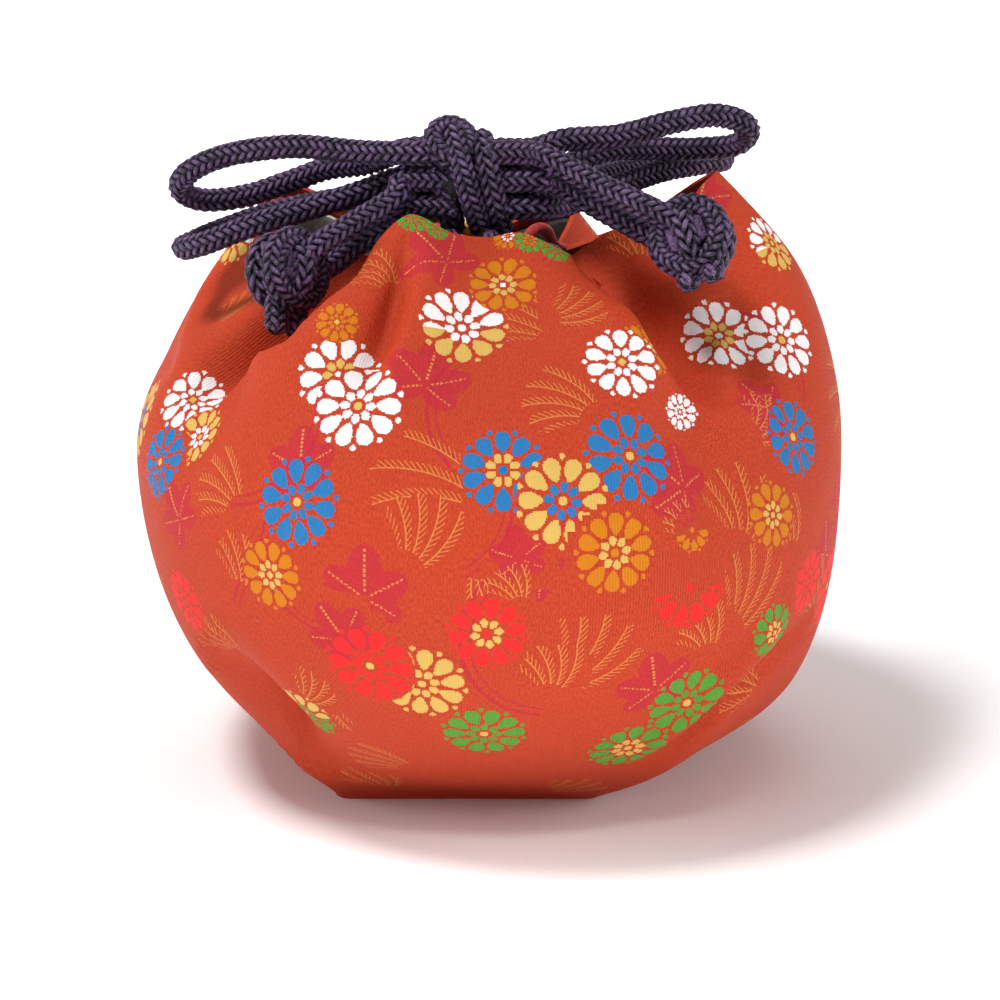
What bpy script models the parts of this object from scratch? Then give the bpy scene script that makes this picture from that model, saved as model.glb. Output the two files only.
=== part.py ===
"""A drawstring pouch of woven brocade with a pale lining, drawn shut by two round braided cords.

The pouch stands on its square base with the front towards -Y. The cloth rises from the base edge over
a round belly, and the cords draw its hem in at the mouth, so that the hem stands up in lobes between
deep valleys. Each column of the cloth is two Bezier curves: one from the base edge to the belly, and
one from the belly to the hem. Inside the mouth the two cords run round in cloth loops at the hem, and
their ends rise into one knot, from which the strands of the bow and the tails leave. The origin is on
the base, straight below the middle of the mouth; the pouch slumps to the right, so its base's own middle
lies a little to the left of that.
"""

import math

import bmesh
import bpy
from mathutils import Vector

MM = 0.001

# The cloth.
BASE_SIDE = 52 * MM
BASE_CORNER_RADIUS = 3 * MM
BASE_MIDDLE = Vector((-4.2, -0.5, 0)) * MM
BELLY_RADIUS = 69 * MM
BELLY_HEIGHT = 58 * MM
BELLY_LIFT = 7 * MM
LIFT_COLUMN = 270
LIFT_SPREAD = 50
MOUTH_HEIGHT = 103 * MM
VALLEY_RADIUS = 19 * MM
HEM_HANDLE = 20 * MM
BROCADE_THICKNESS = 1.2 * MM
LINING_THICKNESS = 0.8 * MM
CLEARANCE = 0.3 * MM
LINING_CLEARANCE = 0.5 * MM
LINING_TOP = 0.95
# How full the cloth hangs near the floor: shares of the way out and up from the base edge, and down from
# the belly. The slack at the right adds to the first and last, and at the front the cloth is drawn tight.
FOOT_OUT = 0.4
FOOT_UP = 0.08
BELLY_DOWN = 0.7
SLACK = 0.3
SLACK_COLUMN = 98
SLACK_SPREAD = 36
TIGHT = 0.42
TIGHT_COLUMN = 350
TIGHT_SPREAD = 80
COLUMNS = 72
LOWER_ROWS = 4
UPPER_ROWS = 8

# The cords and the cloth loops that hold them at the mouth.
CORD_DIAMETER = 4.6 * MM
CORD_RING_RADIUS = 12.5 * MM
UPPER_RING = MOUTH_HEIGHT - 1.5 * MM
LOWER_RING = UPPER_RING - CORD_DIAMETER - CLEARANCE
UPPER_RING_GAP = 22
LOWER_RING_GAP = 28
LOOP_DIAMETER = 2.4 * MM
LOOP_STAND = 2.2 * MM
LOOP_SEAM = 5 * MM
LOOP_INSIDE = 1.2 * MM
LOOP_COLUMNS = (37, 126, 180, 235, 303)
BOW_KNOT_CENTRE = Vector((-3.5, -13, 118.7)) * MM
BOW_KNOT_SIZE = Vector((18.6, 15, 22.6)) * MM
END_KNOT_SIZE = Vector((16, 15, 16.5)) * MM

# The hem, station by station from the front towards +X: where on the cloth, and where it stands round
# the mouth, in degrees; how far out from the valleys' radius and up from the mouth's height, in mm; how
# far the cloth leans in there, in degrees from upright; and how far it stays upright above the belly,
# in mm.
HEM = (
    (0, 0, 5, 7, 46, 28),
    (12, 14, 7, 8, 44, 28),
    (24, 31, 10, 4, 50, 26),
    (37, 43, 0, 0, 68, 14),
    (50, 55, 9, 7, 42, 22),
    (64, 66, 17, 8, 42, 28),
    (76, 77, 22, 13.8, 44, 33),
    (87, 87, 24.5, 16.4, 46, 38),
    (98, 97, 22, 12, 47, 36),
    (112, 112, 11.5, 4, 48, 24),
    (126, 131, 0, -1, 68, 14),
    (146, 147, 12, 5, 48, 22),
    (164, 165, 8, 3, 50, 24),
    (180, 181, 1, 1, 60, 20),
    (198, 197, 8, 3, 50, 24),
    (216, 214, 12, 5, 48, 22),
    (235, 230, 0, -1, 68, 14),
    (247, 243, 18, 8.5, 48, 17),
    (258, 254, 24, 11.5, 46, 17),
    (268, 265, 20, 5, 48, 18),
    (279, 277, 15, 3, 50, 19),
    (290, 290, 12, 3, 54, 22),
    (303, 306, 0, -1, 68, 14),
    (318, 316, 13, 3, 54, 24),
    (334, 331, 11, 11.5, 40, 28),
    (346, 345, 7, 8, 44, 28),
)

# The routes of the strands from the bow knot, in mm.
UPPER_LOOP_LEFT = (
    (-24, -14, 124), (-36, -11, 124.6), (-48, -8, 122.8), (-56, -5, 119.4), (-59, -1, 115.2),
    (-55, 2.5, 112.6), (-47, 4, 113.2), (-39, 3.5, 115.8), (-31, 1.5, 118.8), (-23, -3, 120.4),
)
LOWER_LOOP_LEFT = (
    (-24, -13.5, 116.4), (-34, -14.5, 113.4), (-44, -14, 110.4), (-53, -12, 106.8), (-58, -7, 105),
    (-55, -1.5, 106), (-46, 0, 109.2), (-37, -3, 112), (-26, -8, 114.4),
)
UPPER_LOOP_RIGHT = (
    (14, -10, 125.6), (24, -7, 126), (34, -3, 128), (43, 0, 129), (49.5, 4, 126.4),
    (48, 8, 122.6), (40, 7, 121.8), (31, 4, 122.2), (22, -1, 122.4), (13, -7, 120),
)
LOWER_LOOP_RIGHT = (
    (14, -10, 113.6), (24, -1, 115.6), (33, 7, 117.4), (41, 13, 118), (46, 18, 118), (46, 23, 117.8),
    (39, 24.5, 117.2), (30, 20, 117), (21, 9, 116.8), (13, -4, 114.8),
)
TAIL_LEFT_FRONT = ((-17, -19, 116.4), (-23, -22, 113))
TAIL_LEFT_BACK = ((-17, -16.6, 110.8), (-23, -18.6, 108.4))
TAIL_RIGHT_FRONT = ((12, -19.5, 123), (20, -23.6, 119.2))
TAIL_RIGHT_BACK = ((12, -15.5, 118.6), (19, -19.4, 115.2))
UPPER_ENDS = (((2.5, -12.4, 104), (0.2, -12.7, 106)), ((-5.6, -12.4, 104), (-7, -12.7, 106)))
LOWER_ENDS = (
    ((4.6, -14.4, 96.6), (4, -17.2, 99.5), (2.4, -18, 103.5), (0.2, -18.4, 107)),
    ((-4.6, -14.4, 96.6), (-4, -17.2, 99.5), (-5, -18, 103.5), (-7, -18.4, 107)),
)
END_KNOT_LEFT = Vector((-36.5, -26, 102.5)) * MM
END_KNOT_RIGHT = Vector((36.4, -28, 109.6)) * MM


def polar(around, radius, height):
    """A point round the pouch's axis: 0 degrees is the front, -Y, and 90 is +X."""
    turn = math.radians(around)
    return Vector((radius * math.sin(turn), -radius * math.cos(turn), height))


def bezier(p0, p1, p2, p3, t):
    s = 1 - t
    return p0 * s**3 + p1 * 3 * s * s * t + p2 * 3 * s * t * t + p3 * t**3


def hem_station(k):
    whole, k = divmod(k, len(HEM))
    cloth, turn, *rest = HEM[k]
    return (cloth + 360 * whole, turn + 360 * whole, *rest)


def hem_at(around):
    """The hem at one place on the cloth, smooth through the stations: turn, out, up, lean and upright."""
    around %= 360
    i = max(k for k in range(len(HEM)) if HEM[k][0] <= around)
    before, start, end, after = (hem_station(i + k) for k in (-1, 0, 1, 2))
    span = end[0] - start[0]
    t = (around - start[0]) / span
    found = []
    for k in range(1, 6):
        slope_in = (end[k] - before[k]) / (end[0] - before[0]) * span
        slope_out = (after[k] - start[k]) / (after[0] - start[0]) * span
        rise = start[k] * (1 + 2 * t) * (1 - t) ** 2 + end[k] * t * t * (3 - 2 * t)
        found.append(rise + slope_in * t * (1 - t) ** 2 - slope_out * t * t * (1 - t))
    return found


def hem_frame(around):
    """The hem's edge at one place on the cloth, the direction that the cloth runs out in, and its outside."""
    turn, out, up, lean, _ = hem_at(around)
    lean = math.radians(lean)
    edge = polar(turn, VALLEY_RADIUS + out * MM, MOUTH_HEIGHT + up * MM)
    along = polar(turn, -math.sin(lean), math.cos(lean))
    outside = polar(turn, math.cos(lean), math.sin(lean))
    return edge, along, outside


def base_edge(around):
    """The edge of the square base, a rounded square on the floor, in the direction of a column."""
    side, corner = BASE_SIDE / 2, BASE_CORNER_RADIUS
    turn = math.radians(around)
    dx, dy = abs(math.sin(turn)), abs(math.cos(turn))
    radius = side / max(dx, dy)
    middle = side - corner
    if radius * min(dx, dy) > middle:
        along = middle * (dx + dy)
        radius = along + math.sqrt(along**2 - 2 * middle**2 + corner**2)
    return polar(around, radius, 0) + BASE_MIDDLE


def swell(around, column, spread):
    """1 at one column of the cloth, falling smoothly to 0 on both sides."""
    away = abs((around - column + 180) % 360 - 180)
    return math.exp(-((away / spread) ** 2))


def cloth_point(around, rise):
    """A point of the brocade's outer face: rise is 0 at the base edge, 1 at the belly, 2 at the hem."""
    height = BELLY_HEIGHT + BELLY_LIFT * swell(around, LIFT_COLUMN, LIFT_SPREAD)
    belly = polar(around, BELLY_RADIUS, height)
    if rise <= 1:
        edge = base_edge(around)
        slack = SLACK * swell(around, SLACK_COLUMN, SLACK_SPREAD)
        out = FOOT_OUT + slack - TIGHT * swell(around, TIGHT_COLUMN, TIGHT_SPREAD)
        low = edge + polar(around, out * (BELLY_RADIUS - BASE_SIDE / 2), FOOT_UP * height)
        high = belly - Vector((0, 0, (BELLY_DOWN + slack) * height))
        return bezier(edge, low, high, belly, rise)
    upright = hem_at(around)[4] * MM
    edge, along, _ = hem_frame(around)
    return bezier(belly, belly + Vector((0, 0, upright)), edge - along * HEM_HANDLE, edge, rise - 1)


def add_object(name, data):
    obj = bpy.data.objects.new(name, data)
    pouch.objects.link(obj)
    return obj


def cloth_surface(name, inset, top):
    """An open bag: the cloth's outer face, moved in by inset, up to a share of the way to the hem."""
    mesh = bmesh.new()
    rises = [k / LOWER_ROWS for k in range(LOWER_ROWS)]
    rises += [1 + top * k / UPPER_ROWS for k in range(UPPER_ROWS + 1)]
    rings = []
    for rise in rises:
        rings.append([mesh.verts.new(cloth_point(360 * k / COLUMNS, rise)) for k in range(COLUMNS)])
    for low, high in zip(rings, rings[1:]):
        for k in range(COLUMNS):
            n = (k + 1) % COLUMNS
            mesh.faces.new((low[k], low[n], high[n], high[k]))
    mesh.faces.new(reversed(rings[0]))
    mesh.normal_update()
    moved = [v.co - v.normal * inset * min(v.calc_shell_factor(), 2) for v in mesh.verts]
    for v, place in zip(mesh.verts, moved):
        v.co = place
    data = bpy.data.meshes.new(name)
    mesh.to_mesh(data)
    mesh.free()
    data.shade_smooth()
    return add_object(name, data)


def shell(name, inset, top, thickness):
    obj = cloth_surface(name, inset, top)
    wall = obj.modifiers.new("wall", "SOLIDIFY")
    wall.thickness = thickness
    wall.offset = -1
    wall.use_even_offset = True
    return obj


def smooth_route(points, spacing):
    """Points at even spacing along a smooth curve through the route's own points."""
    ends = [points[0] * 2 - points[1], *points, points[-1] * 2 - points[-2]]
    fine = []
    for a, b, c, d in zip(ends, ends[1:], ends[2:], ends[3:]):
        for k in range(16):
            t = k / 16
            fine.append(0.5 * (2 * b + (c - a) * t + (2 * a - 5 * b + 4 * c - d) * t * t
                               + (3 * b - a - 3 * c + d) * t**3))
    fine.append(points[-1])
    lengths = [0.0]
    for a, b in zip(fine, fine[1:]):
        lengths.append(lengths[-1] + (b - a).length)
    count = max(2, round(lengths[-1] / spacing))
    route = []
    i = 0
    for k in range(count + 1):
        want = lengths[-1] * k / count
        while i < len(fine) - 2 and lengths[i + 1] < want:
            i += 1
        share = (want - lengths[i]) / (lengths[i + 1] - lengths[i])
        route.append(fine[i].lerp(fine[i + 1], min(max(share, 0), 1)))
    return route


def tube(name, points, diameter, square_ends=0, spacing=2):
    """A tube along a smooth route, with a point every so many diameters and straight pieces at its ends."""
    curve = bpy.data.curves.new(name, "CURVE")
    curve.dimensions = "3D"
    curve.bevel_depth = diameter / 2
    curve.bevel_resolution = 2
    curve.use_fill_caps = True
    route = smooth_route(points, spacing * diameter)
    if square_ends:
        first = (points[1] - points[0]).normalized() * square_ends
        last = (points[-2] - points[-1]).normalized() * square_ends
        route[1:1] = [points[0] + first]
        route[-1:-1] = [points[-1] + last]
    spline = curve.splines.new("POLY")
    spline.points.add(len(route) - 1)
    for point, place in zip(spline.points, route):
        point.co = (*place, 1)
    return add_object(name, curve)


def strand(name, points):
    return tube(name, points, CORD_DIAMETER, square_ends=CORD_DIAMETER / 3)


def knot(name, centre, size, turn):
    bpy.ops.mesh.primitive_uv_sphere_add(segments=16, ring_count=10, radius=0.5)
    obj = bpy.context.object
    obj.name = name
    obj.scale = size
    bpy.ops.object.transform_apply(scale=True)
    obj.location = centre
    obj.rotation_euler = (0, math.radians(turn), 0)
    obj.data.shade_smooth()
    for collection in list(obj.users_collection):
        collection.objects.unlink(obj)
    pouch.objects.link(obj)
    return obj


def knot_side(side, front, up):
    """Where a strand leaves the bow knot sideways: side is -1 or 1, and front and up in mm from its centre."""
    reach = CORD_DIAMETER / 2
    half = BOW_KNOT_SIZE / 2
    y = max(abs(front * MM) - reach, 0) / half.y
    z = max(abs(up * MM) - reach, 0) / half.z
    x = half.x * math.sqrt(1 - y * y - z * z) + CLEARANCE
    return BOW_KNOT_CENTRE + Vector((side * x, -front * MM, up * MM))


def in_metres(points):
    return [Vector(p) * MM for p in points]


def bow_strand(name, side, leaves, route, returns):
    start = knot_side(side, *leaves)
    end = knot_side(side, *returns)
    straight = Vector((side * CORD_DIAMETER / 2, 0, 0))
    return strand(name, [start, start + straight, *in_metres(route), end + straight, end])


def tail_strand(name, side, leaves, route, end_knot, beside):
    """A strand of a doubled tail: beside is -1 or 1, for the lower or the upper strand at its end knot."""
    start = knot_side(side, *leaves)
    route = in_metres(route)
    back = (route[-1] - end_knot).normalized()
    across = back.cross(Vector((0, -1, 0))).cross(back).lerp(Vector((0, 0, 1)), 0.5)
    across = (across - back * across.dot(back)).normalized()
    end = end_knot + back * (max(END_KNOT_SIZE) / 2 + CLEARANCE)
    end += across * beside * (CORD_DIAMETER + CLEARANCE) / 2
    straight = Vector((side * CORD_DIAMETER / 2, 0, 0))
    return strand(name, [start, start + straight, *route, end + back * CORD_DIAMETER / 2, end])


def ring_cord(name, gap, height, right, left):
    """A cord round the mouth, open at the front, whose two ends rise to the bow knot."""
    turns = [gap + (360 - 2 * gap) * k / 20 for k in range(21)]
    ring = [polar(turn, CORD_RING_RADIUS, height) for turn in turns]
    route = [*reversed(in_metres(right)), *ring, *in_metres(left)]
    return tube(name, route, CORD_DIAMETER, spacing=0.9)


def cord_loop(name, column):
    """A loop of cloth cord from the hem's edge over both cords and back under the lining."""
    edge, along, outside = hem_frame(column)
    turn = hem_at(column)[0]
    radius = LOOP_DIAMETER / 2
    middle = edge - outside * BROCADE_THICKNESS / 2
    under = edge - along * LOOP_SEAM
    under -= outside * (BROCADE_THICKNESS + LINING_CLEARANCE + LINING_THICKNESS + LOOP_INSIDE)
    reach = CORD_DIAMETER / 2 + radius + 2 * CLEARANCE
    points = [
        middle + along * 2.5 * CLEARANCE,
        middle + along * LOOP_STAND,
        polar(turn, CORD_RING_RADIUS + reach * 0.5, UPPER_RING + reach),
        polar(turn, CORD_RING_RADIUS - reach * 0.35, UPPER_RING + reach),
        polar(turn, CORD_RING_RADIUS - reach, UPPER_RING),
        polar(turn, CORD_RING_RADIUS - reach, LOWER_RING),
        polar(turn, CORD_RING_RADIUS - reach * 0.35, LOWER_RING - reach),
        polar(turn, CORD_RING_RADIUS + reach * 0.6, LOWER_RING - reach),
        under - outside * 3 * MM,
        under,
    ]
    return tube(name, points, LOOP_DIAMETER, square_ends=LOOP_DIAMETER / 3, spacing=1.4)


def finish(obj, name, colour, roughness):
    material = bpy.data.materials.get(name) or bpy.data.materials.new(name)
    material.use_nodes = True
    surface = material.node_tree.nodes["Principled BSDF"]
    surface.inputs["Base Color"].default_value = (*colour, 1)
    surface.inputs["Roughness"].default_value = roughness
    surface.inputs["Metallic"].default_value = 0
    obj.data.materials.append(material)


for o in list(bpy.data.objects):
    bpy.data.objects.remove(o)
pouch = bpy.data.collections.new("drawstring_pouch")
bpy.context.scene.collection.children.link(pouch)

shell("outer_bag", 0, 1, BROCADE_THICKNESS)
shell("lining_bag", BROCADE_THICKNESS + LINING_CLEARANCE, LINING_TOP, LINING_THICKNESS)

for number, column in enumerate(LOOP_COLUMNS, 1):
    cord_loop(f"cord_loop_{number}", column)

ring_cord("drawstring_upper", UPPER_RING_GAP, UPPER_RING, *UPPER_ENDS)
ring_cord("drawstring_lower", LOWER_RING_GAP, LOWER_RING, *LOWER_ENDS)

knot("bow_knot", BOW_KNOT_CENTRE, BOW_KNOT_SIZE, 0)
bow_strand("bow_loop_left_upper", -1, (4, 6), UPPER_LOOP_LEFT, (-1.8, 6))
bow_strand("bow_loop_left_lower", -1, (-1.8, 0.2), LOWER_LOOP_LEFT, (-1.8, -5.6))
bow_strand("bow_loop_right_upper", 1, (-1.8, 6), UPPER_LOOP_RIGHT, (-1.8, 0.2))
bow_strand("bow_loop_right_lower", 1, (4, -5.6), LOWER_LOOP_RIGHT, (-1.8, -5.6))
tail_strand("tail_left_front", -1, (4, 0.2), TAIL_LEFT_FRONT, END_KNOT_LEFT, 1)
tail_strand("tail_left_back", -1, (4, -5.6), TAIL_LEFT_BACK, END_KNOT_LEFT, -1)
tail_strand("tail_right_front", 1, (4, 6), TAIL_RIGHT_FRONT, END_KNOT_RIGHT, 1)
tail_strand("tail_right_back", 1, (4, 0.2), TAIL_RIGHT_BACK, END_KNOT_RIGHT, -1)
knot("end_knot_left", END_KNOT_LEFT, END_KNOT_SIZE, 30)
knot("end_knot_right", END_KNOT_RIGHT, END_KNOT_SIZE, 20)

for obj in pouch.objects:
    if obj.name == "outer_bag":
        finish(obj, "brocade", (0.72, 0.11, 0.03), 0.6)
    elif obj.name == "lining_bag":
        finish(obj, "lining", (0.75, 0.72, 0.66), 0.85)
    elif obj.name.startswith("cord_loop"):
        finish(obj, "loop_cloth", (0.5, 0.05, 0.05), 0.8)
    else:
        finish(obj, "braid", (0.03, 0.012, 0.05), 0.75)
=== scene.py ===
"""The looks of a lined brocade drawstring pouch: woven cloth, lining, braided cords and their knots."""

import math

import bmesh
import bpy
import numpy as np
from mathutils import Matrix, Vector, noise
from mathutils.bvhtree import BVHTree
from mathutils.kdtree import KDTree


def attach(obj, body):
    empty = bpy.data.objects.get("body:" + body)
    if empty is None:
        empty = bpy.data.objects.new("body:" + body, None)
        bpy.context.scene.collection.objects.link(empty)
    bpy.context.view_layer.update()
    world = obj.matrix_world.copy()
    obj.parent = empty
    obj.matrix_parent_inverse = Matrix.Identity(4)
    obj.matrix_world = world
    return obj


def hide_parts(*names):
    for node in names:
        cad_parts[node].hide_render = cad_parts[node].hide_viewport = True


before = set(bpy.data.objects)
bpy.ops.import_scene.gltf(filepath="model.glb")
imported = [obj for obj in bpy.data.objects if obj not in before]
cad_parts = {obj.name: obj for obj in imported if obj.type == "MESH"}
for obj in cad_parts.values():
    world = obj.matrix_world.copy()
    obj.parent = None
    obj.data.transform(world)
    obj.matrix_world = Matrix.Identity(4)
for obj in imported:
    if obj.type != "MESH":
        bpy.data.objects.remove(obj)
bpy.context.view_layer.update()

MM = 0.001

# The cloth, as in the part's source, but for the right lobe's hem, which is rounder here.
BASE_SIDE = 52 * MM
BASE_CORNER_RADIUS = 3 * MM
BASE_MIDDLE = Vector((-4.2, -0.5, 0)) * MM
BELLY_RADIUS = 69 * MM
BELLY_HEIGHT = 58 * MM
BELLY_LIFT = 7 * MM
LIFT_COLUMN = 270
LIFT_SPREAD = 50
MOUTH_HEIGHT = 103 * MM
VALLEY_RADIUS = 19 * MM
HEM_HANDLE = 20 * MM
FOOT_OUT = 0.4
FOOT_UP = 0.08
BELLY_DOWN = 0.7
SLACK = 0.3
SLACK_COLUMN = 98
SLACK_SPREAD = 36
TIGHT = 0.42
TIGHT_COLUMN = 350
TIGHT_SPREAD = 80
BROCADE_THICKNESS = 1.2 * MM
LINING_CLEARANCE = 0.5 * MM
LINING_THICKNESS = 0.8 * MM
LINING_TOP = 0.95
COLUMNS = 320
LOWER_ROWS = 44
UPPER_ROWS = 82

# The hem's stations: where on the cloth and where round the mouth, out, up, lean and upright.
HEM = (
    (0, 0, 5, 7, 46, 28),
    (12, 14, 7, 8, 44, 28),
    (24, 31, 10, 4, 50, 26),
    (37, 43, 0, 0, 68, 14),
    (50, 55, 9, 7, 42, 22),
    (64, 66, 17, 8, 42, 28),
    (76, 77, 22.5, 15, 44, 33),
    (87, 87, 24.2, 15.8, 46, 38),
    (98, 97, 22.4, 13.6, 47, 36),
    (112, 112, 11.5, 4, 48, 24),
    (126, 131, 0, -1, 68, 14),
    (146, 147, 12, 5, 48, 22),
    (164, 165, 8, 3, 50, 24),
    (180, 181, 1, 1, 60, 20),
    (198, 197, 8, 3, 50, 24),
    (216, 214, 12, 5, 48, 22),
    (235, 230, 0, -1, 68, 14),
    (247, 243, 18, 8.5, 48, 17),
    (258, 254, 24, 11.5, 46, 17),
    (268, 265, 20, 5, 48, 18),
    (279, 277, 15, 3, 50, 19),
    (290, 290, 12, 3, 54, 22),
    (303, 306, 0, -1, 68, 14),
    (318, 316, 13, 3, 54, 24),
    (334, 331, 11, 11.5, 40, 28),
    (346, 345, 7, 8, 44, 28),
)
LOOP_COLUMNS = (37, 126, 180, 235, 303)

# The cords, as in the part's source but for the upper mouth cord's left end. Routes are in mm.
CORD_DIAMETER = 4.6 * MM
CORD_RING_RADIUS = 12.5 * MM
UPPER_RING = 101.5 * MM
LOWER_RING = 96.6 * MM
LOOP_DIAMETER = 2.4 * MM
BOW_KNOT_CENTRE = Vector((-3.5, -13, 118.7)) * MM
BOW_KNOT_SIZE = Vector((18.6, 15, 22.6)) * MM
END_KNOT_LEFT = Vector((-36.5, -26, 102.5)) * MM
END_KNOT_RIGHT = Vector((36.4, -28, 109.6)) * MM
UPPER_LOOP_LEFT = (
    (-24, -14, 124), (-36, -11, 124.6), (-48, -8, 122.8), (-56, -5, 119.4), (-59, -1, 115.2),
    (-55, 2.5, 112.6), (-47, 4, 113.2), (-39, 3.5, 115.8), (-31, 1.5, 118.8), (-23, -3, 120.4),
)
LOWER_LOOP_LEFT = (
    (-24, -13.5, 116.4), (-34, -14.5, 113.4), (-44, -14, 110.4), (-53, -12, 106.8), (-58, -7, 105),
    (-55, -1.5, 106), (-46, 0, 109.2), (-37, -3, 112), (-26, -8, 114.4),
)
UPPER_LOOP_RIGHT = (
    (14, -10, 125.6), (24, -7, 126), (34, -3, 128), (43, 0, 129), (49.5, 4, 126.4),
    (48, 8, 122.6), (40, 7, 121.8), (31, 4, 122.2), (22, -1, 122.4), (13, -7, 120),
)
LOWER_LOOP_RIGHT = (
    (14, -10, 113.6), (24, -1, 115.6), (33, 7, 117.4), (41, 13, 118), (46, 18, 118), (46, 23, 117.8),
    (39, 24.5, 117.2), (30, 20, 117), (21, 9, 116.8), (13, -4, 114.8),
)
TAIL_LEFT_FRONT = ((-17, -19, 116.4), (-23, -22, 113))
TAIL_LEFT_BACK = ((-17, -16.6, 110.8), (-23, -18.6, 108.4))
TAIL_RIGHT_FRONT = ((12, -19.5, 123), (20, -23.6, 119.2))
TAIL_RIGHT_BACK = ((12, -15.5, 118.6), (19, -19.4, 115.2))
UPPER_ENDS = (((2.5, -12.4, 104), (0.2, -12.7, 106)), ((-6.9, -12, 104), (-7, -12.7, 106)))
LOWER_ENDS = (
    ((4.6, -14.4, 96.6), (4, -17.2, 99.5), (2.4, -18, 103.5), (0.2, -18.4, 107)),
    ((-4.6, -14.4, 96.6), (-4, -17.2, 99.5), (-5, -18, 103.5), (-7, -18.4, 107)),
)

# The camera, at the photograph's angle.
CAMERA_PITCH = math.radians(17)
FOCAL_PIXELS = 2067
CAMERA_DISTANCE = 413.4 * MM
CAMERA_TARGET = Vector((2, 0, 52.9)) * MM
FRAME_PIXELS = 1000


def put_in_scene(name, data):
    made = bpy.data.objects.new(name, data)
    bpy.context.scene.collection.objects.link(made)
    return made


def make_camera():
    data = bpy.data.cameras.new("camera")
    data.sensor_width = 36
    data.lens = data.sensor_width * FOCAL_PIXELS / FRAME_PIXELS
    data.clip_start = 0.01
    camera = put_in_scene("camera", data)
    back = Vector((0, -math.cos(CAMERA_PITCH), math.sin(CAMERA_PITCH)))
    camera.location = CAMERA_TARGET + back * CAMERA_DISTANCE
    camera.rotation_euler = (math.pi / 2 - CAMERA_PITCH, 0, 0)
    bpy.context.scene.camera = camera
    return camera


camera = make_camera()


def sight(px, py):
    """The ray from the camera through one pixel of the photograph."""
    half = FRAME_PIXELS / 2
    ray = Vector(((px - half) / FOCAL_PIXELS, (half - py) / FOCAL_PIXELS, -1))
    return camera.location, (camera.rotation_euler.to_matrix() @ ray).normalized()


# Shapes of the cloth.


def polar(around, radius, height):
    """A point round the pouch's axis: 0 degrees is the front, -Y, and 90 is +X."""
    turn = math.radians(around)
    return Vector((radius * math.sin(turn), -radius * math.cos(turn), height))


def bezier(p0, p1, p2, p3, t):
    s = 1 - t
    return p0 * s**3 + p1 * 3 * s * s * t + p2 * 3 * s * t * t + p3 * t**3


def smoothstep(low, high, value):
    t = min(max((value - low) / (high - low), 0), 1)
    return t * t * (3 - 2 * t)


def hem_station(k):
    whole, k = divmod(k, len(HEM))
    cloth, turn, *rest = HEM[k]
    return (cloth + 360 * whole, turn + 360 * whole, *rest)


def hem_at(around):
    around %= 360
    i = max(k for k in range(len(HEM)) if HEM[k][0] <= around)
    before, start, end, after = (hem_station(i + k) for k in (-1, 0, 1, 2))
    span = end[0] - start[0]
    t = (around - start[0]) / span
    found = []
    for k in range(1, 6):
        slope_in = (end[k] - before[k]) / (end[0] - before[0]) * span
        slope_out = (after[k] - start[k]) / (after[0] - start[0]) * span
        rise = start[k] * (1 + 2 * t) * (1 - t) ** 2 + end[k] * t * t * (3 - 2 * t)
        found.append(rise + slope_in * t * (1 - t) ** 2 - slope_out * t * t * (1 - t))
    return found


def hem_frame(around):
    turn, out, up, lean, _ = hem_at(around)
    lean = math.radians(lean)
    edge = polar(turn, VALLEY_RADIUS + out * MM, MOUTH_HEIGHT + up * MM)
    along = polar(turn, -math.sin(lean), math.cos(lean))
    outside = polar(turn, math.cos(lean), math.sin(lean))
    return edge, along, outside


def base_edge(around):
    side, corner = BASE_SIDE / 2, BASE_CORNER_RADIUS
    turn = math.radians(around)
    dx, dy = abs(math.sin(turn)), abs(math.cos(turn))
    radius = side / max(dx, dy)
    middle = side - corner
    if radius * min(dx, dy) > middle:
        along = middle * (dx + dy)
        radius = along + math.sqrt(along**2 - 2 * middle**2 + corner**2)
    return polar(around, radius, 0) + BASE_MIDDLE


def swell(around, column, spread):
    away = abs((around - column + 180) % 360 - 180)
    return math.exp(-((away / spread) ** 2))


class Column:
    """One column of the cloth, from the base edge over the belly to the hem."""

    def __init__(self, around):
        height = BELLY_HEIGHT + BELLY_LIFT * swell(around, LIFT_COLUMN, LIFT_SPREAD)
        belly = polar(around, BELLY_RADIUS, height)
        edge = base_edge(around)
        slack = SLACK * swell(around, SLACK_COLUMN, SLACK_SPREAD)
        out = FOOT_OUT + slack - TIGHT * swell(around, TIGHT_COLUMN, TIGHT_SPREAD)
        low = edge + polar(around, out * (BELLY_RADIUS - BASE_SIDE / 2), FOOT_UP * height)
        high = belly - Vector((0, 0, (BELLY_DOWN + slack) * height))
        self.lower = (edge, low, high, belly)
        upright = hem_at(around)[4] * MM
        hem, along, _ = hem_frame(around)
        self.upper = (belly, belly + Vector((0, 0, upright)), hem - along * HEM_HANDLE, hem)

    def point(self, rise):
        if rise <= 1:
            return bezier(*self.lower, rise)
        return bezier(*self.upper, rise - 1)


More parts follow.
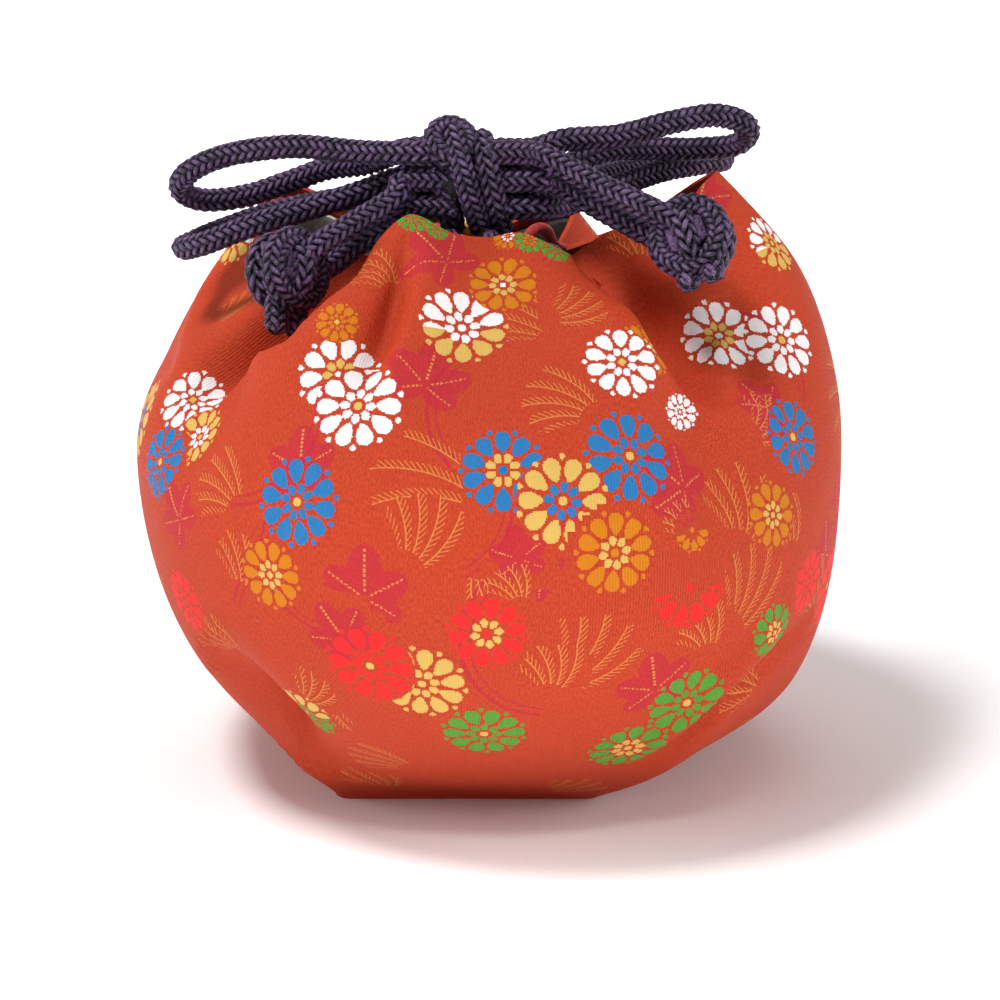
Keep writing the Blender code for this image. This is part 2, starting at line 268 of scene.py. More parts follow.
def bag_surface(columns_count, lower_rows, upper_rows, top):
    """The cloth's outer face: the base's outline, extruded ring by ring up to the hem, and its own places."""
    mesh = bmesh.new()
    across = mesh.verts.layers.float.new("across")
    up = mesh.verts.layers.float.new("up")
    bmesh.ops.create_circle(mesh, segments=columns_count, radius=BASE_SIDE, cap_ends=True)
    columns = [Column(360 * k / columns_count) for k in range(columns_count)]
    ring = sorted(mesh.verts, key=lambda v: math.atan2(v.co.x, -v.co.y) % (2 * math.pi))
    for k, vertex in enumerate(ring):
        vertex.co = columns[k].point(0)
        vertex[across] = k
    order = {vertex: k for k, vertex in enumerate(ring)}
    edges = list(mesh.edges)
    rises = [k / lower_rows for k in range(1, lower_rows)]
    rises += [1 + top * k / upper_rows for k in range(upper_rows + 1)]
    climbed = [0.0] * columns_count
    for rise in rises:
        made = bmesh.ops.extrude_edge_only(mesh, edges=edges)["geom"]
        edges = [g for g in made if isinstance(g, bmesh.types.BMEdge)]
        fresh = {}
        for vertex in (g for g in made if isinstance(g, bmesh.types.BMVert)):
            below = next(e.other_vert(vertex) for e in vertex.link_edges if e.other_vert(vertex) in order)
            k = order[below]
            vertex.co = columns[k].point(rise)
            climbed[k] += (vertex.co - below.co).length
            vertex[across] = k
            vertex[up] = climbed[k]
            fresh[vertex] = k
        order = fresh
    bmesh.ops.recalc_face_normals(mesh, faces=mesh.faces)
    return mesh


def places(mesh):
    return np.array([v.co for v in mesh.verts])


def lay_folds(mesh, folds):
    """Creases and ridges along lines that the photograph shows, and the cloth's own slight waves."""
    found = places(mesh)
    normals = np.array([v.normal for v in mesh.verts])
    moved = np.zeros(len(found))
    for pixels, depth, right, left in folds:
        line = [place for place, _ in (on_cloth(*pixel) for pixel in pixels) if place]
        route = smooth_route(line, 0.8 * MM)
        taper = np.sin(np.linspace(0, np.pi, len(route))).clip(0) ** 0.8
        line = np.array(route)
        away = np.linalg.norm(found[:, None, :] - line[None, :, :], axis=2)
        nearest = away.argmin(axis=1)
        distance = away[np.arange(len(found)), nearest]
        aside = np.cross(np.gradient(line, axis=0)[nearest], found - line[nearest])
        width = np.where((aside * normals).sum(axis=1) > 0, left, right) * MM
        moved -= depth * MM * taper[nearest] * np.exp(-((distance / width) ** 2))
    for vertex, normal, amount in zip(mesh.verts, normals, moved):
        calm = smoothstep(CALM_HEIGHT, FULL_HEIGHT, vertex.co.z)
        wave = noise.noise(vertex.co * LONG_WAVES) * 0.9 + noise.noise(vertex.co * SHORT_WAVES) * 0.3
        vertex.co += Vector(normal) * (amount + wave * calm * WAVE_DEPTH)
    mesh.normal_update()


def cloth_object(name, mesh, columns_count, material, thickness):
    """The finished cloth: its own map in mm, a wall and a soft edge."""
    across = mesh.verts.layers.float["across"]
    up = mesh.verts.layers.float["up"]
    cloth_map = mesh.loops.layers.uv.new("cloth")
    pitch = 2 * math.pi * BELLY_RADIUS / columns_count
    half = columns_count // 2
    for face in mesh.faces:
        face.smooth = True
        steps = [(round(loop.vert[across]) + half) % columns_count for loop in face.loops]
        wraps = max(steps) - min(steps) > half
        for loop, step in zip(face.loops, steps):
            step += columns_count if wraps and step < half else 0
            loop[cloth_map].uv = (step * pitch / MM, loop.vert[up] / MM)
            if len(face.verts) > 4:
                loop[cloth_map].uv = (loop.vert.co.x / MM, loop.vert.co.y / MM)
    data = bpy.data.meshes.new(name)
    mesh.to_mesh(data)
    mesh.free()
    piece = put_in_scene(name, data)
    data.materials.append(material)
    wall = piece.modifiers.new("wall", "SOLIDIFY")
    wall.thickness = thickness
    wall.offset = -1
    edge = piece.modifiers.new("edge", "BEVEL")
    edge.width = thickness * 0.36
    edge.segments = 3
    edge.limit_method = "ANGLE"
    edge.angle_limit = math.radians(80)
    return piece


def smooth_route(points, spacing):
    """Points at even spacing along a smooth curve through the route's own points."""
    ends = [points[0] * 2 - points[1], *points, points[-1] * 2 - points[-2]]
    fine = []
    for a, b, c, d in zip(ends, ends[1:], ends[2:], ends[3:]):
        for k in range(16):
            t = k / 16
            fine.append(0.5 * (2 * b + (c - a) * t + (2 * a - 5 * b + 4 * c - d) * t * t
                               + (3 * b - a - 3 * c + d) * t**3))
    fine.append(points[-1])
    return even_route(fine, spacing)


def even_route(fine, spacing):
    lengths = [0.0]
    for a, b in zip(fine, fine[1:]):
        lengths.append(lengths[-1] + (b - a).length)
    count = max(2, round(lengths[-1] / spacing))
    route = []
    i = 0
    for k in range(count + 1):
        want = lengths[-1] * k / count
        while i < len(fine) - 2 and lengths[i + 1] < want:
            i += 1
        share = (want - lengths[i]) / (lengths[i + 1] - lengths[i])
        route.append(fine[i].lerp(fine[i + 1], min(max(share, 0), 1)))
    return route


# Motifs woven into the brocade. A motif is placed by the pixel of the photograph where its middle shows.

WHITE = (0.86, 0.82, 0.83)
GOLD = (0.64, 0.42, 0.1)
OCHRE = (0.58, 0.19, 0.006)
BLUE = (0.003, 0.17, 0.42)
GREEN = (0.07, 0.3, 0.035)
RED = (0.78, 0.02, 0.02)
CRIMSON = (0.46, 0.012, 0.042)
PLAIN = (0.47, 0.045, 0.016)

YARNS = {"W": WHITE, "G": GOLD, "O": OCHRE, "B": BLUE, "N": GREEN, "R": RED, "P": PLAIN}

# Flowers: pixel, radius in mm, and yarns of the outer petals above and below, the inner petals and the
# centre. Later ones lie on top.
FLOWERS = (
    (193, 400, 6.6, "WWWG"), (200, 437, 6, "GGWG"), (340, 375, 7.6, "WWGW"), (358, 406, 8.2, "WWWG"),
    (719, 336, 7.2, "WWGW"), (782, 340, 7.6, "WWWG"), (648, 348, 5.5, "OOGG"), (622, 362, 7, "WWWG"),
    (680, 412, 3.5, "WWWW"), (462, 328, 8.2, "WGWW"), (503, 285, 6.4, "OOGW"), (337, 322, 4, "OOOG"),
    (297, 502, 8, "BBBG"), (503, 470, 7.6, "BBGB"), (630, 456, 8.4, "BBBG"), (563, 501, 8.2, "GGBG"),
    (793, 437, 7.4, "BBBG"), (160, 462, 7, "BBBG"), (270, 575, 6.6, "OOGG"), (615, 553, 7.4, "OOGO"),
    (773, 515, 6.2, "OOGG"), (422, 684, 8.2, "GGGG"), (370, 666, 8.4, "RRRG"), (487, 634, 7.2, "RRGR"),
    (808, 582, 6.5, "RRRR"), (186, 602, 6.5, "RRRR"), (484, 734, 7.8, "NNNG"), (687, 703, 7.8, "NNNG"),
    (628, 748, 7.8, "NNGG"), (307, 712, 6.4, "GNNG"), (775, 633, 5.6, "NNGG"), (222, 694, 6.5, "NNNG"),
    (268, 742, 5.5, "NNNN"), (414, 217, 3.2, "NNNN"), (437, 228, 2.6, "NNNN"), (508, 236, 3, "OOWO"),
    (530, 240, 3, "NNON"), (556, 248, 3.2, "NNNN"), (690, 588, 8, "PRPR"), (692, 530, 4, "POPO"),
    (772, 243, 6.2, "WGGG"), (186, 308, 5.6, "WWGW"),
)
# Leaves: pixel, reach in mm and turn in degrees.
LEAVES = (
    (447, 262, 8.5, 20), (425, 385, 9, -30), (365, 598, 9.5, 0), (684, 488, 9.5, 40), (655, 690, 9, 15),
    (540, 575, 6.5, 60), (300, 470, 8, 10), (770, 408, 8, 70), (345, 640, 8, 35), (180, 520, 8, 50),
    (825, 555, 8, 10), (700, 200, 8, -20), (520, 560, 6, 10),
)
# Sprays of gold thread: pixel of the root, reach in mm and turn in degrees, 0 upwards and 90 to the left.
SPRAYS = (
    (500, 522, 24, 62), (478, 560, 11, 195), (400, 575, 15, -30), (545, 690, 19, -55),
    (545, 700, 13, -10), (243, 520, 15, 50), (240, 600, 13, -15), (250, 660, 14, 20),
    (735, 560, 18, -25), (720, 640, 19, -40), (705, 660, 12, 10), (385, 790, 14, 5), (420, 770, 14, 60),
    (530, 790, 15, -70), (560, 345, 15, 35), (540, 320, 12, -60), (605, 425, 15, 45),
    (205, 330, 12, 10), (395, 300, 11, 20), (690, 545, 8, 10), (330, 690, 12, 150), (745, 440, 14, -70),
    (640, 270, 10, 10), (300, 700, 10, -60), (812, 620, 14, 20), (790, 560, 12, 0), (520, 610, 8, 10),
    (760, 690, 12, 70), (700, 760, 11, 50),
)
# Fine crimson streams: pixel of the circle's middle, radius in mm and turn in degrees.
STREAMS = (
    (430, 500, 15, 0), (655, 560, 19, 180), (300, 640, 16, 100), (560, 640, 18, 200),
    (740, 380, 15, 30), (250, 420, 16, -20), (520, 410, 17, 160), (600, 300, 14, 60),
    (330, 560, 15, 190), (780, 690, 14, 90),
)
# Motifs of one size and one turn: the share of their reach that they need round a middle, set up along it.
PLAIN_MOTIFS = (("leaf", LEAVES, 1, 0), ("spray", SPRAYS, 0.62, 0.8), ("stream", STREAMS, 1, 0))


def on_cloth(px, py):
    """Where the photograph's pixel falls on the cloth's outer face."""
    place, normal, _, _ = cloth_tree.ray_cast(*sight(px, py))
    return place, normal


def motif_frame(place, normal, turn):
    """Sideways and upwards on the cloth at a motif, turned."""
    side = Vector((0, 0, 1)).cross(normal).normalized()
    side.rotate(Matrix.Rotation(math.radians(turn), 3, normal))
    return np.array(side), np.array(normal.cross(side))


def settle(motifs):
    """Each motif's place on the cloth: in front, on the back and, from the belly's middle, at both sides."""
    found = []
    for px, py, *facts in motifs:
        front, normal = on_cloth(px, py)
        if front is None:
            continue
        found.append((front, normal, facts))
        middle = abs(math.atan2(front.x, -front.y)) < SIDE_SPAN and front.z < SIDE_TOP
        for turn in (90, 180, 270) if middle else (180,):
            further = Matrix.Rotation(math.radians(turn), 3, "Z") @ front
            place, normal, _, _ = cloth_tree.find_nearest(further)
            found.append((place, normal, facts))
    return found


def weave_in(mesh, name, motifs, reach_of, turn_of, centre_up=0.0):
    """A map named name, in mm from each motif's own middle, on the faces that the motif covers."""
    middles = np.array([f.calc_center_median() for f in mesh.faces])
    normals = np.array([f.normal for f in mesh.faces])
    owner = np.full(len(middles), -1)
    for number, (place, normal, facts) in enumerate(motifs):
        _, upwards = motif_frame(place, normal, turn_of(facts))
        middle = np.array(place) + upwards * reach_of(facts) * centre_up * MM
        reach = reach_of(facts) * (1 - abs(centre_up) * 0.35) + 1.2
        near = np.linalg.norm(middles - middle, axis=1) < reach * MM
        owner[near & (normals @ np.array(normal) > 0.1)] = number
    layer = mesh.loops.layers.uv.new(name)
    frames = [(np.array(p), *motif_frame(p, n, turn_of(facts))) for p, n, facts in motifs]
    for face, number in zip(mesh.faces, owner):
        for loop in face.loops:
            loop[layer].uv = (99, 99)
            if number >= 0:
                place, side, upwards = frames[number]
                away = (np.array(loop.vert.co) - place) / MM
                loop[layer].uv = (away @ side, away @ upwards)
    return owner


def colour_layer(mesh, name, owner, colours):
    layer = mesh.loops.layers.float_color.new(name)
    for face, number in zip(mesh.faces, owner):
        if number >= 0:
            for loop in face.loops:
                loop[layer] = colours[number]


def spread_over_layers(motifs):
    """Flowers that touch an earlier one go on the second layer, over it."""
    layers = ([], [])
    for place, normal, facts in motifs:
        touches = any((place - other).length < (facts[0] + more[0] + FLOWER_ROOM) * MM
                      for other, _, more in layers[0])
        layers[touches].append((place, normal, facts))
    return layers


def weave_motifs(mesh):
    table = [(px, py, radius, *(YARNS[yarn_and_gap_shade] for yarn_and_gap_shade in yarns)) for px, py, radius, yarns in FLOWERS]
    for number, flowers in enumerate(spread_over_layers(settle(table)), 1):
        owner = weave_in(mesh, f"flower_{number}", flowers, lambda facts: facts[0], lambda facts: 0)
        turns = [(37 * k) % 60 / 60 for k in range(len(flowers))]
        colour_layer(mesh, f"high_{number}", owner, [(*facts[1], facts[0] / 10) for _, _, facts in flowers])
        colour_layer(mesh, f"low_{number}", owner, [(*f[2], turns[k]) for k, (_, _, f) in enumerate(flowers)])
        colour_layer(mesh, f"inner_{number}", owner, [(*facts[3], 1) for _, _, facts in flowers])
        colour_layer(mesh, f"heart_{number}", owner, [(*facts[4], 1) for _, _, facts in flowers])
    for name, table, share, up in PLAIN_MOTIFS:
        motifs = settle(table)
        owner = weave_in(mesh, name, motifs, lambda facts: facts[0] * share, lambda facts: facts[1], up)
        colour_layer(mesh, f"{name}_size", owner, [(facts[0] / 10, 0, 0, 1) for _, _, facts in motifs])


# Finishes.


class Finish:
    """A material and short words for the nodes that make it."""

    def __init__(self, name, roughness, sheen=0.0):
        self.material = bpy.data.materials.new(name)
        self.material.use_nodes = True
        self.nodes = self.material.node_tree.nodes
        self.links = self.material.node_tree.links
        self.surface = self.nodes["Principled BSDF"]
        self.surface.inputs["Roughness"].default_value = roughness
        self.surface.inputs["Sheen Weight"].default_value = sheen
        self.surface.inputs["Sheen Roughness"].default_value = 0.4
        self.surface.inputs["Specular IOR Level"].default_value = 0.25

    def put(self, value, socket):
        if isinstance(value, bpy.types.NodeSocket):
            self.links.new(value, socket)
        elif isinstance(value, tuple) and len(value) == 3 and socket.type == "RGBA":
            socket.default_value = (*value, 1)
        else:
            socket.default_value = value

    def math(self, operation, *values):
        node = self.nodes.new("ShaderNodeMath")
        node.operation = operation
        for value, socket in zip(values, node.inputs):
            self.put(value, socket)
        return node.outputs[0]

    def plus(self, one, other):
        return self.math("ADD", one, other)

    def minus(self, one, other):
        return self.math("SUBTRACT", one, other)

    def times(self, one, other):
        return self.math("MULTIPLY", one, other)

    def over(self, one, other):
        return self.math("DIVIDE", one, other)

    def scaled(self, value, factor, more):
        """The value times the factor, and more."""
        return self.math("MULTIPLY_ADD", value, factor, more)

    def size_of(self, value):
        return self.math("ABSOLUTE", value)

    def either(self, one, other):
        return self.math("MAXIMUM", one, other)

    def below(self, value, limit):
        return self.math("LESS_THAN", value, limit)

    def above(self, value, limit):
        return self.math("GREATER_THAN", value, limit)

    def within(self, value, limit):
        return self.below(self.size_of(value), limit)

    def wave(self, value, length):
        return self.math("SINE", self.times(value, 2 * math.pi / length))

    def map(self, name):
        node = self.nodes.new("ShaderNodeUVMap")
        node.uv_map = name
        parts = self.nodes.new("ShaderNodeSeparateXYZ")
        self.links.new(node.outputs[0], parts.inputs[0])
        return parts.outputs[0], parts.outputs[1]

    def attribute(self, name):
        node = self.nodes.new("ShaderNodeAttribute")
        node.attribute_name = name
        return node.outputs["Color"], node.outputs["Alpha"], node.outputs["Fac"]

    def attribute_red(self, name):
        parts = self.nodes.new("ShaderNodeSeparateColor")
        self.links.new(self.attribute(name)[0], parts.inputs[0])
        return parts.outputs[0]

    def point(self, x, y, z=0.0):
        node = self.nodes.new("ShaderNodeCombineXYZ")
        for value, socket in zip((x, y, z), node.inputs):
            self.put(value, socket)
        return node.outputs[0]

    def place(self):
        return self.nodes.new("ShaderNodeTexCoord").outputs["Object"]

    def noise(self, where, scale, detail=2.0, roughness=0.5):
        node = self.nodes.new("ShaderNodeTexNoise")
        self.links.new(where, node.inputs["Vector"])
        node.inputs["Scale"].default_value = scale
        node.inputs["Detail"].default_value = detail
        node.inputs["Roughness"].default_value = roughness
        return node.outputs[0]

    def mix(self, share, low, high):
        node = self.nodes.new("ShaderNodeMix")
        node.data_type = "RGBA"
        self.put(share, node.inputs[0])
        self.put(low, node.inputs[6])
        self.put(high, node.inputs[7])
        return node.outputs[2]

    def ramp(self, value, low, high, from_value=0.0, to_value=1.0):
        node = self.nodes.new("ShaderNodeMapRange")
        node.interpolation_type = "SMOOTHSTEP"
        for item, socket in zip((value, low, high, from_value, to_value), node.inputs):
            self.put(item, socket)
        return node.outputs[0]

    def bump(self, height, distance, strength=1.0):
        node = self.nodes.new("ShaderNodeBump")
        self.links.new(height, node.inputs["Height"])
        node.inputs["Distance"].default_value = distance
        node.inputs["Strength"].default_value = strength
        self.links.new(node.outputs[0], self.surface.inputs["Normal"])

    def colour(self, value):
        self.put(value, self.surface.inputs["Base Color"])


def polar_parts(finish, x, y, size):
    """Distance from a motif's middle, 1 at its edge, and the angle round it."""
    squares = finish.plus(finish.times(x, x), finish.times(y, y))
    return finish.over(finish.math("SQRT", squares), size), finish.math("ARCTAN2", y, x)


def petal_ring(finish, radius, angle, count, shift, middle, length, width, flare):
    """A ring of teardrop petals: 1 on a petal and 0 off it."""
    turns = finish.scaled(angle, count / (2 * math.pi), shift)
    off = finish.size_of(finish.minus(finish.math("FRACT", turns), 0.5))
    arc = finish.times(finish.times(off, 2 * math.pi / count), radius)
    out = finish.minus(radius, middle)
    wide = finish.scaled(out, flare, width)
    across = finish.over(arc, wide)
    along = finish.over(out, length)
    shape = finish.plus(finish.times(across, across), finish.times(along, along))
    return finish.below(shape, 1.0)


def woven(finish, value, step):
    """A coordinate in steps of the weave, which gives woven shapes their stepped edges."""
    return finish.times(finish.plus(finish.math("FLOOR", finish.over(value, step)), 0.5), step)


def all_of(finish, *shares):
    found = shares[0]
    for share in shares[1:]:
        found = finish.times(found, share)
    return found


def stream_lines(finish):
    """Two thin lines side by side on a part of a circle."""
    x, y = finish.map("stream")
    radius, angle = polar_parts(finish, x, y, finish.times(finish.attribute_red("stream_size"), 10))
    line = finish.within(finish.minus(radius, 0.93), 0.02)
    second = finish.within(finish.minus(radius, 0.84), 0.012)
    return all_of(finish, finish.either(line, second), finish.within(angle, 1.1))


def leaf_parts(finish):
    """An ivy leaf of five rounded lobes, and the dotted veins along their middles."""
    x, y = finish.map("leaf")
    size = finish.times(finish.attribute_red("leaf_size"), 10)
    x = finish.over(woven(finish, x, WEAVE_STEP), size)
    y = finish.over(woven(finish, y, WEAVE_STEP), size)
    leaf = vein = 0.0
    for turn, reach, width in LEAF_LOBES:
        turn = math.radians(turn)
        along = finish.plus(finish.times(x, math.cos(turn)), finish.times(y, math.sin(turn)))
        across = finish.plus(finish.times(x, -math.sin(turn)), finish.times(y, math.cos(turn)))
        near = finish.over(finish.minus(along, reach / 2), reach / 2)
        wide = finish.over(across, width)
        lobe = finish.below(finish.plus(finish.times(near, near), finish.times(wide, wide)), 1.0)
        leaf = finish.either(leaf, lobe)
        middle = finish.within(across, 0.016)
        stretch = finish.within(near, 0.82)
        beads = finish.above(finish.math("FRACT", finish.times(along, 11)), 0.4)
        vein = finish.either(vein, all_of(finish, middle, stretch, beads))
    return leaf, vein


def spray_threads(finish):
    """A fan of bent stems with short barbs along one side of each."""
    x, y = finish.map("spray")
    size = finish.times(finish.attribute_red("spray_size"), 10)
    radius, _ = polar_parts(finish, x, y, size)
    angle = finish.math("ARCTAN2", x, y)
    bent = finish.scaled(radius, 0.55, angle)
    off = finish.minus(finish.math("FRACT", finish.over(bent, STEM_ANGLE)), 0.5)
    distance = finish.times(radius, size)
    arc = finish.times(finish.times(off, STEM_ANGLE), distance)
    stem = finish.within(arc, 0.13)
    barb = finish.math("FRACT", finish.over(finish.scaled(arc, -1.3, distance), BARB_STEP))
    barb = finish.below(barb, 0.26)
    beside = all_of(finish, finish.above(arc, 0.0), finish.below(arc, 1.5))
    thread = finish.either(stem, all_of(finish, barb, beside))
    fan = finish.within(finish.plus(bent, -0.25), 0.68)
    return all_of(finish, thread, fan, finish.above(radius, 0.3), finish.below(radius, 1.0))


def flower_layer(finish, number, cloth, grain):
    """One layer of chrysanthemums over the cloth's colour: the new colour, and where the flowers are."""
    x, y = finish.map(f"flower_{number}")
    x = woven(finish, x, WEAVE_STEP)
    y = woven(finish, y, WEAVE_STEP)
    high, size, _ = finish.attribute(f"high_{number}")
    low, turn, _ = finish.attribute(f"low_{number}")
    inner_colour = finish.attribute(f"inner_{number}")[0]
    heart_colour = finish.attribute(f"heart_{number}")[0]
    radius, angle = polar_parts(finish, x, y, finish.times(size, 10))
    angle = finish.plus(angle, turn)
    outer, inner, dots = (petal_ring(finish, radius, angle, *facts) for facts in PETAL_RINGS)
    heart = finish.below(radius, HEART_RADIUS)
    upper = finish.above(y, -0.4)
    petals = finish.mix(upper, low, high)
    rim = finish.either(outer, dots)
    cloth = finish.mix(all_of(finish, rim, grain), cloth, petals)
    cloth = finish.mix(all_of(finish, inner, grain), cloth, inner_colour)
    cloth = finish.mix(heart, cloth, heart_colour)
    return cloth, finish.either(finish.either(rim, inner), heart)


def clear_below(finish, number):
    """0 inside a flower of this layer and 1 outside it, so that nothing woven shows between its petals."""
    x, y = finish.map(f"flower_{number}")
    size = finish.attribute(f"high_{number}")[1]
    radius, _ = polar_parts(finish, x, y, finish.times(size, 10))
    return finish.above(radius, FLOWER_EDGE)


def brocade_finish():
    finish = Finish("brocade", 0.55)
    finish.surface.inputs["Specular IOR Level"].default_value = 0.1
    across, up = finish.map("cloth")
    streaks = finish.noise(finish.point(finish.times(across, 3.4), finish.times(up, 1.3)), 1.0, 3.0, 0.6)
    specks = finish.noise(finish.point(finish.times(across, 5.0), finish.times(up, 3.4)), 1.0, 2.0, 0.7)
    ground = finish.mix(finish.ramp(streaks, 0.3, 0.7), GROUND_DARK, GROUND_LIGHT)
    ground = finish.mix(finish.ramp(specks, 0.55, 0.75, 0.0, 0.4), ground, GROUND_FLECK)

    ground = finish.mix(finish.times(stream_lines(finish), 0.6), ground, CRIMSON)
    leaf, vein = leaf_parts(finish)
    leaf_share = finish.times(leaf, finish.ramp(specks, 0.35, 0.6, 0.35, 0.75))
    ground = finish.mix(leaf_share, ground, CRIMSON)
    open_ground = all_of(finish, clear_below(finish, 1), clear_below(finish, 2))
    spray = all_of(finish, spray_threads(finish), finish.above(specks, 0.42))
    gold_lines = all_of(finish, finish.either(spray, vein), open_ground)
    ground = finish.mix(finish.times(gold_lines, 0.75), ground, GOLD_LINE)

    grain = finish.ramp(specks, 0.35, 0.7, 0.93, 1.0)
    cloth, below = flower_layer(finish, 1, ground, grain)
    cloth = finish.mix(clear_below(finish, 2), ground, cloth)
    cloth, above = flower_layer(finish, 2, cloth, grain)
    finish.colour(cloth)

    flower = finish.either(below, above)
    weave = finish.scaled(finish.wave(across, RIB_STEP), 0.22, finish.times(finish.wave(up, PICK_STEP), 0.14))
    height = finish.plus(weave, finish.times(specks, 0.5))
    height = finish.plus(height, finish.times(streaks, 0.5))
    raised = finish.either(flower, finish.either(gold_lines, finish.times(leaf, 0.4)))
    finish.bump(finish.scaled(raised, 0.5, height), 0.00016, 0.8)
    rough = finish.ramp(specks, 0.2, 0.8, 0.64, 0.52)
    finish.put(finish.scaled(flower, -0.06, rough), finish.surface.inputs["Roughness"])
    return finish.material


def lining_finish():
    finish = Finish("lining", 0.85, 0.15)
    across, up = finish.map("cloth")
    threads = finish.noise(finish.point(finish.times(across, 3.0), finish.times(up, 0.7)), 1.0, 3.0, 0.6)
    weave = finish.times(finish.wave(across, LINING_STEP), finish.wave(up, LINING_STEP))
    finish.colour(finish.mix(finish.ramp(threads, 0.3, 0.7), LINING_DARK, LINING_LIGHT))
    finish.bump(finish.scaled(weave, 0.3, threads), 0.00015)
    return finish.material


def loop_finish():
    finish = Finish("loop_cloth", 0.75, 0.2)
    where = finish.place()
    blotch = finish.noise(where, 420, 3, 0.6)
    threads = finish.noise(where, 2600, 2, 0.6)
    finish.colour(finish.mix(finish.ramp(blotch, 0.3, 0.7), LOOP_DARK, LOOP_LIGHT))
    finish.bump(threads, 0.0002)
    return finish.material


def braid_finish():
    finish = Finish("braid", 0.45)
    where = finish.place()
    blotch = finish.noise(where, 260, 2, 0.5)
    fibre = finish.noise(where, 3800, 2, 0.6)
    crown = finish.attribute("crown")[2]
    yarn_and_gap_shade = finish.mix(finish.ramp(blotch, 0.35, 0.65), BRAID_DARK, BRAID_LIGHT)
    # painted shade: the gaps between strands, and a knot's filling, go towards near-black as the crown height
    # falls
    yarn_and_gap_shade = finish.mix(finish.ramp(crown, 0.4, 1.0), BRAID_GAP_SHADE, yarn_and_gap_shade)
    # painted highlight: a glint on the strands' crowns where the fibre noise is bright
    glint = finish.times(finish.ramp(fibre, 0.4, 0.75), finish.ramp(crown, 0.7, 1.0))
    finish.colour(finish.mix(glint, yarn_and_gap_shade, BRAID_GLINT))
    finish.bump(fibre, 0.00012)
    return finish.material


GROUND_DARK = (0.4, 0.034, 0.012)
GROUND_LIGHT = (0.54, 0.062, 0.02)
GROUND_FLECK = (0.34, 0.02, 0.012)
GOLD_LINE = (0.68, 0.3, 0.07)
LINING_DARK = (0.5, 0.48, 0.42)
LINING_LIGHT = (0.7, 0.69, 0.64)
# Painted shade in the gaps between strands and on a knot's filling.
BRAID_GAP_SHADE = (0.003, 0.002, 0.006)
BRAID_DARK = (0.028, 0.016, 0.042)
BRAID_LIGHT = (0.098, 0.05, 0.132)
# Painted highlight on the strands' crowns.
BRAID_GLINT = (0.26, 0.17, 0.32)
LOOP_DARK = (0.32, 0.02, 0.02)
LOOP_LIGHT = (0.62, 0.06, 0.05)

# The weave, in mm.
WEAVE_STEP = 0.24
RIB_STEP = 0.55
PICK_STEP = 0.4
LINING_STEP = 0.45
BARB_STEP = 0.95
FLOWER_ROOM = 1.6
STEM_ANGLE = 0.3
# Rings of petals, outer, inner and dots, in shares of the flower: count, shift, middle, length, width, flare.
PETAL_RINGS = (
    (10, 0.0, 0.66, 0.26, 0.168, 0.3),
    (8, 0.2, 0.285, 0.115, 0.09, 0.16),
    (10, 0.5, 0.925, 0.065, 0.062, 0.4),
)
HEART_RADIUS = 0.095
FLOWER_EDGE = 0.97
# A leaf's lobes: direction in degrees, reach and half width in shares of the leaf.
LEAF_LOBES = ((90, 1.0, 0.33), (150, 0.9, 0.3), (30, 0.9, 0.3), (208, 0.74, 0.26), (-28, 0.74, 0.26))
# How far from the front's middle, and how high, a motif repeats at both sides.
SIDE_SPAN = math.radians(18)
SIDE_TOP = 76 * MM

# The cloth's own waves, long and short, and the calm foot. Folds are wider in the lining.
LONG_WAVES = 38
SHORT_WAVES = Vector((110, 110, 60))
WAVE_DEPTH = 0.5 * MM
CALM_HEIGHT = 2 * MM
FULL_HEIGHT = 20 * MM
LINING_EASE = 1.5

# Folds that the photograph shows: pixels along the line, depth in mm, negative for a ridge, and width in mm
# on the right and on the left of someone who walks along the line.
FOLDS = (
    (((240, 690), (258, 712), (285, 735), (312, 764), (334, 792)), 1.6, 2.2, 2.2),
    (((206, 640), (222, 664), (250, 704), (276, 736), (306, 772), (322, 790)), 7.5, 11, 9),
    (((636, 768), (655, 757), (681, 744), (710, 719), (740, 691), (772, 662), (798, 634), (812, 614)),
     3.2, 2, 3),
    (((634, 762), (652, 744), (690, 712), (728, 676), (762, 640), (788, 606), (800, 588)), -1.6, 4, 3),
    (((404, 232), (397, 290), (386, 335), (372, 366), (360, 392)), 4.4, 4, 2),
    (((430, 232), (422, 290), (408, 340), (390, 385), (370, 420)), -2.8, 2.6, 6),
    (((610, 246), (628, 292), (646, 334), (664, 366), (692, 390), (724, 396)), 7.6, 2.8, 9),
    (((586, 250), (603, 300), (620, 338), (639, 374), (665, 403), (700, 420), (742, 414), (768, 396)),
     -4.6, 6, 2.6),
    (((330, 306), (316, 314), (286, 340), (252, 362), (214, 386), (190, 404)), 7.4, 8, 2.6),
    (((402, 264), (370, 284), (344, 306), (318, 334), (292, 360), (258, 384), (226, 410), (206, 424)),
     -4, 2.4, 6),
    (((210, 392), (196, 372), (188, 342), (200, 300), (222, 262)), -1.6, 5, 3),
    (((518, 250), (528, 300), (534, 350)), 1.2, 4, 4),
    (((480, 300), (450, 360), (430, 430)), 1.2, 6, 6),
    (((716, 290), (742, 350), (752, 410)), 1.6, 6, 5),
)

bpy.context.scene.view_settings.view_transform = "Standard"

# The brocade bag and its lining.
cloth = bag_surface(COLUMNS, LOWER_ROWS, UPPER_ROWS, 1)
cloth_tree = BVHTree.FromBMesh(cloth)
lay_folds(cloth, FOLDS)
lining = bag_surface(COLUMNS // 2, LOWER_ROWS // 2, UPPER_ROWS // 2, LINING_TOP)
lay_folds(lining, [(pixels, depth, right * LINING_EASE, left * LINING_EASE)
                   for pixels, depth, right, left in FOLDS if depth > 0])
cloth_tree = BVHTree.FromBMesh(cloth)
weave_motifs(cloth)
inset = BROCADE_THICKNESS + LINING_CLEARANCE
moved = [v.co - v.normal * inset * min(v.calc_shell_factor(), 2) for v in lining.verts]
for vertex, place in zip(lining.verts, moved):
    vertex.co = place

